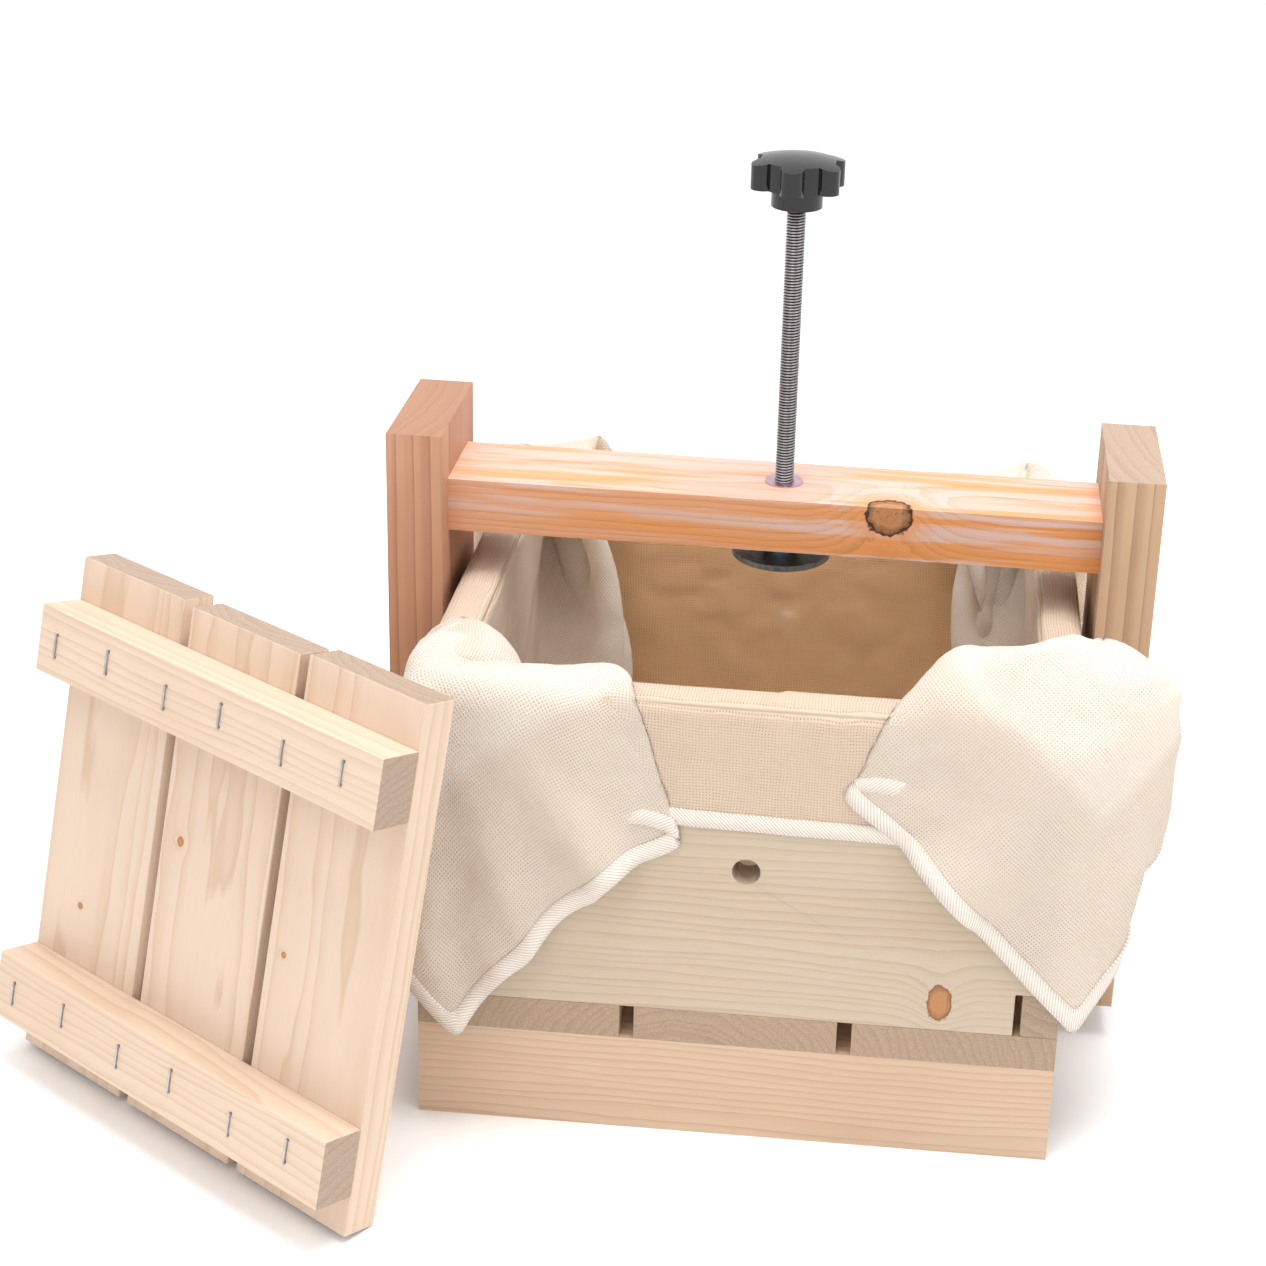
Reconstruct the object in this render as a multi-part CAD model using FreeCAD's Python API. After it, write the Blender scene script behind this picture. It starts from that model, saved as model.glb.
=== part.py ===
import FreeCAD, Part
import math
import os

# Cheese press: slatted base, loose finger-jointed box, press frame with a hand screw,
# pressing board leaning on the box, and a cheesecloth folded out over the rim.
# Millimetres. Origin: middle of the base on the surface it stands on.
# +X is right, +Y is back, +Z is up.

# ---- driving dimensions -------------------------------------------------------------
STOCK = 23.0             # planed thickness of the frame and foot timber
THIN_BOARD = 15.0        # thickness of box boards and slats
BOX_WIDTH = 258.0
BOX_DEPTH = 248.0
BOX_HEIGHT = 138.0

FOOT_HEIGHT = 43.0
SLAT_COUNT = 3
SLAT_GAP = 6.0

FIRST_FINGER = 19.2      # lowest finger, on the side boards
FINGER_COUNT = 10
TONGUE_PROUD = 1.5       # front and back tongues stand out past the side boards
NOTCH_SLACK = 3.0        # open slit beside each side finger
TONGUE_SLACK = 1.0       # open slit behind each front or back tongue
DRAIN_RADIUS = 5.5
DRAIN_X = 2.0
DRAIN_HEIGHT = 124.0

UPRIGHT_INNER = 136.0
UPRIGHT_DEPTH = 68.0
UPRIGHT_BOTTOM = 16.0
UPRIGHT_TOP = 263.0
CROSSBAR_DEPTH = 44.0
CROSSBAR_TOP = 240.0

SCREW_X = 3.0
ROD_RADIUS = 4.0         # M8
RUNNING_CLEARANCE = 0.06
ROD_BOTTOM = 211.0
ROD_HOLE_SLACK = 0.6
INSERT_RADIUS = 6.0
INSERT_FLANGE_RADIUS = 8.0
INSERT_FLANGE_HEIGHT = 1.4
INSERT_PROUD = 0.6
INSERT_LENGTH = 18.0

KNOB_BOTTOM = 360.0
KNOB_HUB_RADIUS = 10.5
KNOB_HUB_HEIGHT = 8.0
KNOB_HEIGHT = 21.0
KNOB_RADIUS = 20.0
KNOB_LOBES = 6
KNOB_LOBE_RADIUS = 4.8
KNOB_FIRST_LOBE = math.radians(-95)
KNOB_DOME_DROP = 3.0     # fall of the domed top from the middle to the lobes
KNOB_BUSH_RADIUS = 6.0
KNOB_BUSH_HEIGHT = 14.0
ROD_SHORT_OF_BUSH = 2.0

FOOT_DISC_RADIUS = 21.0
FOOT_DISC_BOTTOM = 207.5
FOOT_DISC_THICKNESS = 2.5
FOOT_DISC_RIM = 2.0
FOOT_DISC_HOLLOW = 0.9
FOOT_HUB_RADIUS = 8.0
FOOT_HUB_TOP = 214.0
ROD_END_GAP = 0.1        # air under the rod's end in its cup

BOLT_HEIGHT = 31.0
BOLT_RADIUS = 3.0
BOLT_LENGTH = 60.0
BOLT_HEAD_RADIUS = 8.0
BOLT_HEAD_HEIGHT = 4.2
WASHER_RADIUS = 9.0
WASHER_THICKNESS = 1.2
BARREL_NUT_RADIUS = 5.0
BARREL_NUT_LENGTH = 14.0
BARREL_NUT_FROM_TIP = 8.0
WOOD_SCREW_RADIUS = 2.5
WOOD_SCREW_HEAD_RADIUS = 4.75
WOOD_SCREW_HEAD_DEPTH = 3.0
WOOD_SCREW_LENGTH = 60.0
WOOD_SCREW_SPACING = 24.0
BRAD_RADIUS = 0.8
BRAD_LENGTH = 28.0
BRAD_SPACING = 50.0
BRAD_SUNK = 0.1
RAIL_BRAD_SHIFT = 7.0    # brads over the centre rail miss the barrel nuts

LID_WIDTH = 196.0        # across the three slats
LID_LENGTH = 214.0       # along the slats
LID_GAP = 5.0
LID_MIDDLE_SHORTFALL = 1.5
BATTEN_WIDTH = 28.0
BATTEN_THICKNESS = 18.0
BATTEN_STARTS = (17.0, 168.0)
LID_YAW = math.radians(33.4)
LID_LEAN = math.radians(12.6)
LID_CORNER = (-303.0, -102.0)
STAPLE_CROWN = 10.0
STAPLE_LEG = 28.0
STAPLE_WIRE = 0.9
STAPLE_PLACES = ((0.17, -1.0), (0.68, 2.0))   # share of a slat's width, shift along it

CLOTH = 1.2              # cloth as a plain solid
CLOTH_GAP = 0.4          # air between the cloth and the wood
CLOTH_OVERHANG = 52.0
HEM_WIDTH = 6.0
EAR_THICKNESS = 5.0      # the loose corners lie in several layers
EAR_GAP = 0.6
FRONT_LEFT_EAR = ((-134, 195), (-50, 200), (-18, 136), (-107, 32), (-139, 68))
FRONT_RIGHT_FLAP = ((37, 166), (43, 202), (98, 206), (116, 232))
FRONT_RIGHT_FLAP_POINT = (63, 137)
FRONT_RIGHT_FOLD = ((152, 104), (172, 165), (178, 205), (160, 226))
FRONT_RIGHT_FOLD_BACK = -60.0
FRONT_RIGHT_HEIGHTS = (68, 232)
BACK_EAR_TOP = 204.0
BACK_EAR_FRONT = 55.0
BACK_EAR_BEHIND = 6.0

# ---- sizes that follow ---------------------------------------------------------------
BASE_TOP = FOOT_HEIGHT + THIN_BOARD
RIM = BASE_TOP + BOX_HEIGHT
HALF_WIDTH = BOX_WIDTH / 2
HALF_DEPTH = BOX_DEPTH / 2
SLAT_WIDTH = (BOX_WIDTH - (SLAT_COUNT - 1) * SLAT_GAP) / SLAT_COUNT
UPRIGHT_OUTER = UPRIGHT_INNER + STOCK
CROSSBAR_BOTTOM = CROSSBAR_TOP - STOCK
FINGER = (BOX_HEIGHT - FIRST_FINGER) / (FINGER_COUNT - 1)
LID_SLAT_WIDTH = (LID_WIDTH - (SLAT_COUNT - 1) * LID_GAP) / SLAT_COUNT
UP = FreeCAD.Vector(0, 0, 1)


# ---- helpers ------------------------------------------------------------------------
def block(x, y, z):
    """A box between pairs of coordinates."""
    corner = FreeCAD.Vector(x[0], y[0], z[0])
    return Part.makeBox(x[1] - x[0], y[1] - y[0], z[1] - z[0], corner)


def rod(radius, start, direction, length):
    """A cylinder from a start point along a direction."""
    return Part.makeCylinder(radius, length, FreeCAD.Vector(*start), FreeCAD.Vector(*direction))


def upright_cylinder(radius, low, high, x=SCREW_X, y=0.0):
    return rod(radius, (x, y, low), (0, 0, 1), high - low)


def panel_xz(points, y_low, y_high):
    """A closed outline in the XZ plane, extruded along Y."""
    corners = [FreeCAD.Vector(x, y_low, z) for x, z in points]
    outline = Part.makePolygon(corners + corners[:1])
    return Part.Face(outline).extrude(FreeCAD.Vector(0, y_high - y_low, 0))


def cut_all(shape, tools):
    for tool in tools:
        shape = shape.cut(tool)
    return shape


def finger_span(index):
    """Heights of one finger of the box corner, counted from the bottom."""
    low = 0.0 if index == 0 else FIRST_FINGER + (index - 1) * FINGER
    high = FIRST_FINGER + index * FINGER
    return BASE_TOP + low, BASE_TOP + high


# ---- fasteners ----------------------------------------------------------------------
def base_brads():
    """Two brads for every crossing of a slat and a foot or rail."""
    brads = []
    for index in range(SLAT_COUNT):
        middle = -HALF_WIDTH + SLAT_WIDTH / 2 + index * (SLAT_WIDTH + SLAT_GAP)
        for y in (-HALF_DEPTH + STOCK / 2, RAIL_BRAD_SHIFT, HALF_DEPTH - STOCK / 2):
            for x in (middle - BRAD_SPACING / 2, middle + BRAD_SPACING / 2):
                top = BASE_TOP - BRAD_SUNK
                brads.append(upright_cylinder(BRAD_RADIUS, BASE_TOP - BRAD_LENGTH, top, x, y))
    return brads


def frame_bolt(side):
    """Domed bolt through one upright into the end of the centre rail."""
    seat = UPRIGHT_OUTER + WASHER_THICKNESS
    shank = rod(BOLT_RADIUS, (seat, 0, BOLT_HEIGHT), (-1, 0, 0), BOLT_LENGTH)
    dome_radius = (BOLT_HEAD_RADIUS**2 + BOLT_HEAD_HEIGHT**2) / (2 * BOLT_HEAD_HEIGHT)
    centre = FreeCAD.Vector(seat + BOLT_HEAD_HEIGHT - dome_radius, 0, BOLT_HEIGHT)
    ball = Part.makeSphere(dome_radius, centre)
    head = ball.common(rod(BOLT_HEAD_RADIUS, (seat, 0, BOLT_HEIGHT), (1, 0, 0), BOLT_HEAD_HEIGHT))
    bolt = shank.fuse(head).removeSplitter()
    if side < 0:
        bolt = bolt.mirror(FreeCAD.Vector(0, 0, 0), FreeCAD.Vector(1, 0, 0))
    return bolt


def bolt_clearance(side):
    """The drilled way of one frame bolt."""
    start = (side * UPRIGHT_OUTER, 0, BOLT_HEIGHT)
    return rod(BOLT_RADIUS, start, (-side, 0, 0), BOLT_LENGTH - WASHER_THICKNESS)


def washer(side):
    start = (side * UPRIGHT_OUTER, 0, BOLT_HEIGHT)
    ring = rod(WASHER_RADIUS, start, (side, 0, 0), WASHER_THICKNESS)
    return ring.cut(rod(BOLT_RADIUS, start, (side, 0, 0), WASHER_THICKNESS))


def barrel_nut_bore(side, length):
    """Cross bore of the barrel nut, along Y through the centre rail."""
    x = side * (UPRIGHT_OUTER - BOLT_LENGTH + BARREL_NUT_FROM_TIP)
    return rod(BARREL_NUT_RADIUS, (x, -length / 2, BOLT_HEIGHT), (0, 1, 0), length)


def barrel_nut(side):
    return barrel_nut_bore(side, BARREL_NUT_LENGTH).cut(bolt_clearance(side))


def crossbar_screws():
    """Two countersunk wood screws through each upright into the crossbar's end."""
    screws = []
    for side in (-1, 1):
        for y in (-WOOD_SCREW_SPACING / 2, WOOD_SCREW_SPACING / 2):
            face = (side * UPRIGHT_OUTER, y, CROSSBAR_TOP - STOCK / 2)
            shank = rod(WOOD_SCREW_RADIUS, face, (-side, 0, 0), WOOD_SCREW_LENGTH)
            start = FreeCAD.Vector(*face)
            inward = FreeCAD.Vector(-side, 0, 0)
            radii = (WOOD_SCREW_HEAD_RADIUS, WOOD_SCREW_RADIUS)
            head = Part.makeCone(*radii, WOOD_SCREW_HEAD_DEPTH, start, inward)
            screws.append(shank.fuse(head).removeSplitter())
    return screws


# ---- base ---------------------------------------------------------------------------
def base_slat(index, brads):
    left = -HALF_WIDTH + index * (SLAT_WIDTH + SLAT_GAP)
    slat = block((left, left + SLAT_WIDTH), (-HALF_DEPTH, HALF_DEPTH), (FOOT_HEIGHT, BASE_TOP))
    near = [b for b in brads if left < b.CenterOfMass.x < left + SLAT_WIDTH]
    dimples = []
    for brad in near:
        x, y = brad.CenterOfMass.x, brad.CenterOfMass.y
        dimples.append(upright_cylinder(BRAD_RADIUS, BASE_TOP - BRAD_SUNK, BASE_TOP, x, y))
    return cut_all(slat, near + dimples)


def base_foot(side, brads):
    """Front (side -1) or rear foot, a board on edge under the slat ends."""
    outer = side * HALF_DEPTH
    span = sorted((outer, outer - side * STOCK))
    foot = block((-HALF_WIDTH, HALF_WIDTH), span, (0, FOOT_HEIGHT))
    return cut_all(foot, [b for b in brads if span[0] < b.CenterOfMass.y < span[1]])


def centre_rail(brads):
    half = STOCK / 2
    rail = block((-UPRIGHT_INNER, UPRIGHT_INNER), (-half, half), (0, FOOT_HEIGHT))
    tools = [b for b in brads if abs(b.CenterOfMass.y) < half]
    for side in (-1, 1):
        tools += [bolt_clearance(side), barrel_nut_bore(side, STOCK)]
    return cut_all(rail, tools)


# ---- box ----------------------------------------------------------------------------
def end_board(side):
    """Front (side -1) or back board: the odd fingers run over the side boards."""
    outer = side * HALF_DEPTH
    y = sorted((outer, outer - side * THIN_BOARD))
    half = HALF_WIDTH - THIN_BOARD - NOTCH_SLACK
    board = block((-half, half), y, (BASE_TOP, RIM))
    tongue = HALF_WIDTH + TONGUE_PROUD
    for index in range(1, FINGER_COUNT, 2):
        board = board.fuse(block((-tongue, tongue), y, finger_span(index)))
    drain = rod(DRAIN_RADIUS, (DRAIN_X, y[0], DRAIN_HEIGHT), (0, 1, 0), THIN_BOARD)
    return board.removeSplitter().cut(drain)


def side_board(side):
    """Left (side -1) or right board: the even fingers reach the front and back faces."""
    outer = side * HALF_WIDTH
    x = sorted((outer, outer - side * THIN_BOARD))
    half = HALF_DEPTH - THIN_BOARD - TONGUE_SLACK
    board = block(x, (-half, half), (BASE_TOP, RIM))
    for index in range(0, FINGER_COUNT, 2):
        board = board.fuse(block(x, (-HALF_DEPTH, HALF_DEPTH), finger_span(index)))
    return board.removeSplitter()


# ---- press frame --------------------------------------------------------------------
def upright(side, screws):
    x = sorted((side * UPRIGHT_INNER, side * UPRIGHT_OUTER))
    half = UPRIGHT_DEPTH / 2
    post = block(x, (-half, half), (UPRIGHT_BOTTOM, UPRIGHT_TOP))
    return cut_all(post, screws + [bolt_clearance(side)])


def crossbar(screws):
    half = CROSSBAR_DEPTH / 2
    bar = block((-UPRIGHT_INNER, UPRIGHT_INNER), (-half, half), (CROSSBAR_BOTTOM, CROSSBAR_TOP))
    flange_seat = CROSSBAR_TOP + INSERT_PROUD - INSERT_FLANGE_HEIGHT
    tools = [
        upright_cylinder(INSERT_FLANGE_RADIUS, flange_seat, CROSSBAR_TOP),
        upright_cylinder(INSERT_RADIUS, flange_seat - INSERT_LENGTH, flange_seat),
        upright_cylinder(ROD_RADIUS + ROD_HOLE_SLACK, CROSSBAR_BOTTOM, flange_seat - INSERT_LENGTH),
    ]
    return cut_all(bar, screws + tools)


def threaded_insert():
    top = CROSSBAR_TOP + INSERT_PROUD
    seat = top - INSERT_FLANGE_HEIGHT
    body = upright_cylinder(INSERT_RADIUS, seat - INSERT_LENGTH, seat)
    flange = upright_cylinder(INSERT_FLANGE_RADIUS, seat, top)
    bore = upright_cylinder(ROD_RADIUS + RUNNING_CLEARANCE, seat - INSERT_LENGTH, top)
    return body.fuse(flange).removeSplitter().cut(bore)


# ---- hand screw ---------------------------------------------------------------------
def screw_rod():
    """The rod as a plain cylinder of its thread's outer diameter."""
    top = KNOB_BOTTOM + KNOB_BUSH_HEIGHT - ROD_SHORT_OF_BUSH
    return upright_cylinder(ROD_RADIUS, ROD_BOTTOM, top)


def knob_bush():
    ring = upright_cylinder(KNOB_BUSH_RADIUS, KNOB_BOTTOM, KNOB_BOTTOM + KNOB_BUSH_HEIGHT)
    return ring.cut(screw_rod())


def knob():
    """Six-lobe hand knob with a low dome and a round hub below."""
    low = KNOB_BOTTOM + KNOB_HUB_HEIGHT
    top = KNOB_BOTTOM + KNOB_HEIGHT
    reach = KNOB_RADIUS - KNOB_LOBE_RADIUS
    body = upright_cylinder(reach, low, top)
    for index in range(KNOB_LOBES):
        angle = KNOB_FIRST_LOBE + index * 2 * math.pi / KNOB_LOBES
        x = SCREW_X + reach * math.cos(angle)
        y = reach * math.sin(angle)
        body = body.fuse(upright_cylinder(KNOB_LOBE_RADIUS, low, top, x, y))
    dome_radius = (KNOB_RADIUS**2 + KNOB_DOME_DROP**2) / (2 * KNOB_DOME_DROP)
    dome = Part.makeSphere(dome_radius, FreeCAD.Vector(SCREW_X, 0, top - dome_radius))
    body = body.removeSplitter().common(dome)
    hub = upright_cylinder(KNOB_HUB_RADIUS, KNOB_BOTTOM, low)
    pocket = upright_cylinder(KNOB_BUSH_RADIUS, KNOB_BOTTOM, KNOB_BOTTOM + KNOB_BUSH_HEIGHT)
    return body.fuse(hub).removeSplitter().cut(pocket)


def press_foot_disc():
    """Shallow dish with a raised rim, hollow side down."""
    top = FOOT_DISC_BOTTOM + FOOT_DISC_THICKNESS
    disc = upright_cylinder(FOOT_DISC_RADIUS, FOOT_DISC_BOTTOM, top)
    inside = FOOT_DISC_RADIUS - FOOT_DISC_RIM
    return disc.cut(upright_cylinder(inside, FOOT_DISC_BOTTOM, FOOT_DISC_BOTTOM + FOOT_DISC_HOLLOW))


def press_foot_hub():
    """Cup that the rod's end turns in."""
    low = FOOT_DISC_BOTTOM + FOOT_DISC_THICKNESS
    cup = upright_cylinder(FOOT_HUB_RADIUS, low, FOOT_HUB_TOP)
    socket = upright_cylinder(ROD_RADIUS + RUNNING_CLEARANCE, ROD_BOTTOM - ROD_END_GAP, FOOT_HUB_TOP)
    return cup.cut(socket)


# ---- pressing board (lid) -----------------------------------------------------------
def lid_frame():
    """Placement of the leaning board: its X across the slats, Y up them, Z out of its face."""
    out = FreeCAD.Vector(-math.sin(LID_YAW), -math.cos(LID_YAW), 0)
    across = FreeCAD.Vector(math.cos(LID_YAW), -math.sin(LID_YAW), 0)
    along = UP * math.cos(LID_LEAN) - out * math.sin(LID_LEAN)
    normal = out * math.cos(LID_LEAN) + UP * math.sin(LID_LEAN)
    lift = THIN_BOARD * math.sin(LID_LEAN)
    columns = (across, along, normal, FreeCAD.Vector(LID_CORNER[0], LID_CORNER[1], lift))
    rows = [[column[axis] for column in columns] for axis in range(3)]
    return FreeCAD.Placement(FreeCAD.Matrix(*(rows[0] + rows[1] + rows[2] + [0, 0, 0, 1])))


def staples(start):
    """Two staples for every slat, crowns along the slats, through one batten."""
    group = []
    middle = start + BATTEN_WIDTH / 2
    for index in range(SLAT_COUNT):
        left = index * (LID_SLAT_WIDTH + LID_GAP)
        for share, shift in STAPLE_PLACES:
            across = left + share * LID_SLAT_WIDTH
            x = (across, across + STAPLE_WIRE)
            low = middle + shift - STAPLE_CROWN / 2
            high = low + STAPLE_CROWN
            crown = block(x, (low, high), (BATTEN_THICKNESS, BATTEN_THICKNESS + STAPLE_WIRE))
            depth = (BATTEN_THICKNESS - STAPLE_LEG, BATTEN_THICKNESS)
            leg_low = block(x, (low, low + STAPLE_WIRE), depth)
            leg_high = block(x, (high - STAPLE_WIRE, high), depth)
            group.append(crown.fuse([leg_low, leg_high]).removeSplitter())
    return group


def lid_slat(index, tools):
    left = index * (LID_SLAT_WIDTH + LID_GAP)
    shortfall = LID_MIDDLE_SHORTFALL if index == 1 else 0.0
    slat = block((left, left + LID_SLAT_WIDTH), (0, LID_LENGTH - shortfall), (-THIN_BOARD, 0))
    near = [t for t in tools if left < t.BoundBox.Center.x < left + LID_SLAT_WIDTH]
    return cut_all(slat, near)


def lid_batten(start, tools):
    batten = block((0, LID_WIDTH), (start, start + BATTEN_WIDTH), (0, BATTEN_THICKNESS))
    return cut_all(batten, tools)


# ---- cheesecloth as plain solids ------------------------------------------------------
def cloth_outer_x():
    return HALF_WIDTH + TONGUE_PROUD + CLOTH_GAP


def cloth_ring(low, high):
    """A band of cloth round the outside of the box."""
    x = cloth_outer_x()
    y = HALF_DEPTH + CLOTH_GAP
    outer = block((-x - CLOTH, x + CLOTH), (-y - CLOTH, y + CLOTH), (low, high))
    return outer.cut(block((-x, x), (-y, y), (low, high)))


def cheesecloth_liner():
    """Lining of the box that folds over the rim and hangs down outside."""
    x = HALF_WIDTH - THIN_BOARD - CLOTH_GAP
    y = HALF_DEPTH - THIN_BOARD - CLOTH_GAP
    top = RIM + CLOTH_GAP + CLOTH
    low = BASE_TOP + CLOTH_GAP
    wide = cloth_outer_x() + CLOTH
    deep = HALF_DEPTH + CLOTH_GAP + CLOTH
    liner = block((-x, x), (-y, y), (low, top))
    cover = block((-wide, wide), (-deep, deep), (RIM + CLOTH_GAP, top))
    band = cloth_ring(RIM - CLOTH_OVERHANG, top)
    cavity = block((-x + CLOTH, x - CLOTH), (-y + CLOTH, y - CLOTH), (low + CLOTH, top))
    return liner.fuse([cover, band]).removeSplitter().cut(cavity)


def cheesecloth_hem():
    return cloth_ring(RIM - CLOTH_OVERHANG - HEM_WIDTH, RIM - CLOTH_OVERHANG)


def front_left_ear():
    """Corner of the cloth hanging to a point over the front board."""
    front = -HALF_DEPTH - CLOTH_GAP - CLOTH - EAR_GAP
    return panel_xz(FRONT_LEFT_EAR, front - EAR_THICKNESS, front)


def ear_edge():
    """How far out the loose corners start, beside the folded-down cloth."""
    return cloth_outer_x() + CLOTH + 1.0


def front_right_ear():
    """Corner of the cloth thrown over the front, with a fold standing out to the right."""
    front = -HALF_DEPTH - CLOTH_GAP - CLOTH - EAR_GAP
    low, high = FRONT_RIGHT_HEIGHTS
    sides = [(ear_edge(), high), (ear_edge(), low)]
    flap_outline = list(FRONT_RIGHT_FLAP) + sides + [FRONT_RIGHT_FLAP_POINT]
    fold_outline = [sides[1]] + list(FRONT_RIGHT_FOLD) + [sides[0]]
    flap = panel_xz(flap_outline, front - EAR_THICKNESS, front)
    fold = panel_xz(fold_outline, front - EAR_THICKNESS, FRONT_RIGHT_FOLD_BACK)
    return flap.fuse(fold).removeSplitter()


def back_ear(side, reach, low):
    """A corner of the cloth lying behind an upright, outside the box."""
    edge = ear_edge()
    top = [(edge, BACK_EAR_TOP), (edge + 6, BACK_EAR_TOP - 4)]
    tip = [(edge + reach, low + 30), (edge + reach - 6, low), (edge, low)]
    outline = [(side * x, z) for x, z in top + tip]
    return panel_xz(outline, BACK_EAR_FRONT, HALF_DEPTH + BACK_EAR_BEHIND)


# ---- write every node -----------------------------------------------------------------
def main():
    brads = base_brads()
    screws = crossbar_screws()
    lid_staples = [staples(start) for start in BATTEN_STARTS]
    legs = lid_staples[0] + lid_staples[1]
    nodes = {
        "base_foot_front": base_foot(-1, brads),
        "base_foot_rear": base_foot(1, brads),
        "base_centre_rail": centre_rail(brads),
        "base_brads": Part.makeCompound(brads),
        "box_board_front": end_board(-1),
        "box_board_back": end_board(1),
        "box_board_left": side_board(-1),
        "box_board_right": side_board(1),
        "upright_left": upright(-1, screws),
        "upright_right": upright(1, screws),
        "crossbar": crossbar(screws),
        "crossbar_screws": Part.makeCompound(screws),
        "threaded_insert": threaded_insert(),
        "screw_rod": screw_rod(),
        "knob": knob(),
        "knob_bush": knob_bush(),
        "press_foot_disc": press_foot_disc(),
        "press_foot_hub": press_foot_hub(),
        "cheesecloth_liner": cheesecloth_liner(),
        "cheesecloth_hem": cheesecloth_hem(),
        "cheesecloth_ear_front_left": front_left_ear(),
        "cheesecloth_ear_front_right": front_right_ear(),
        "cheesecloth_ear_back_left": back_ear(-1, 60.0, 90.0),
        "cheesecloth_ear_back_right": back_ear(1, 12.0, 100.0),
    }
    for index, place in enumerate(("left", "middle", "right")):
        nodes["base_slat_" + place] = base_slat(index, brads)
    for side, place in ((-1, "left"), (1, "right")):
        nodes["frame_bolt_" + place] = frame_bolt(side)
        nodes["frame_washer_" + place] = washer(side)
        nodes["barrel_nut_" + place] = barrel_nut(side)
    lid = {}
    for index, place in enumerate(("left", "middle", "right")):
        lid["lid_slat_" + place] = lid_slat(index, legs)
    for index, place in enumerate(("lower", "upper")):
        lid["lid_batten_" + place] = lid_batten(BATTEN_STARTS[index], lid_staples[index])
        lid["lid_staples_" + place] = Part.makeCompound(lid_staples[index])
    pose = lid_frame()
    for name, shape in lid.items():
        shape.Placement = pose
        nodes[name] = shape

    os.makedirs("parts", exist_ok=True)
    for name, shape in nodes.items():
        shape.exportStep("parts/" + name + ".step")


main()
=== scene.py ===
import math

import bpy
import numpy as np
from mathutils import Euler, Matrix, Vector


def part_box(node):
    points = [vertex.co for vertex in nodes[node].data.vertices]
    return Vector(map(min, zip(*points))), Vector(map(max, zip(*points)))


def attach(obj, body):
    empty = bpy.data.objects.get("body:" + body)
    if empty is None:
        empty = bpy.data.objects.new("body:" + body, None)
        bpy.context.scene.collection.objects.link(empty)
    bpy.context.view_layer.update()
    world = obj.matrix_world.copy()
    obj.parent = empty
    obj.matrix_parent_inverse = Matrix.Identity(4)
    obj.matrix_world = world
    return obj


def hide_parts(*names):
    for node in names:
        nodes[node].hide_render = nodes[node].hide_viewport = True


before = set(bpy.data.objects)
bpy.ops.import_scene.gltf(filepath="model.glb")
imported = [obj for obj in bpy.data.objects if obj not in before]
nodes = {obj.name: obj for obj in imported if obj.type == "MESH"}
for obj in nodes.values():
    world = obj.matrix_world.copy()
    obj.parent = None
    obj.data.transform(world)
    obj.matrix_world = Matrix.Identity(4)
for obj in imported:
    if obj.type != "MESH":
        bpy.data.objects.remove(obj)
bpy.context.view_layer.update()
MM = 0.001

# ---- view: fitted to the press's corners in the reference picture ----------------------
CAMERA_PLACE = (0.05623, -0.95389, 0.62346)
CAMERA_TURN = (68.6082, -2.4294, 4.1482)      # degrees
CAMERA_LENS = 69.43
CAMERA_SHIFT = (-0.1201, -0.1366)

# ---- sizes repeated from the CAD part, in millimetres ----------------------------------
SCREW_X = 3.0
ROD_RADIUS = 4.0
THREAD_ROOT = 3.38
THREAD_PITCH = 1.25
ROD_SPAN = (211.0, 372.0)
LID_YAW = math.radians(33.4)
LID_LEAN = math.radians(12.6)
LID_CORNER = (-0.303, -0.102, 0.0033)         # metres, in the press's own frame
LID_FIRST_SLAT, LID_SLAT_PITCH = 31.0, 67.0


# ---- node trees ------------------------------------------------------------------------
def linear(red, green, blue):
    """A colour given as eight-bit display values, as linear light."""
    def one(value):
        value = value / 255
        return value / 12.92 if value <= 0.04045 else ((value + 0.055) / 1.055) ** 2.4
    return (one(red), one(green), one(blue), 1.0)


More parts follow.
